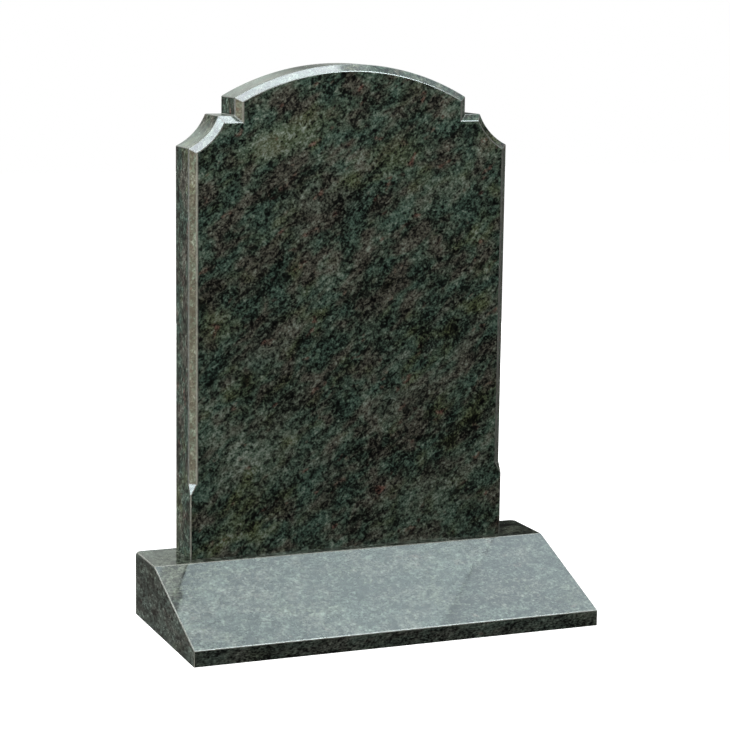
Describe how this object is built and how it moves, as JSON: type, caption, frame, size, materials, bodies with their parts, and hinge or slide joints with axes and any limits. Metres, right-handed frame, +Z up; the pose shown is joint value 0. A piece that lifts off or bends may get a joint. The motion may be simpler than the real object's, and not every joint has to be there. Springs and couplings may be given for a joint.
{
  "type": "headstone",
  "caption": "Upright polished granite memorial plate with a segmental arched head, stepped shoulders, hollow corners and a stopped chamfer, standing on a base with a sloping front.",
  "frame": {"origin": "middle of the base's underside, on the ground", "axes": "+X across the width to the right seen from the front, -Y out of the front face, +Z up"},
  "size_m": [0.663, 0.305, 0.867],
  "materials": {
    "plate_granite": "polished",
    "base_granite": "polished"
  },
  "bodies": {
    "root": {"plate": "plate_granite", "base": "base_granite"}
  },
  "joints": []
}
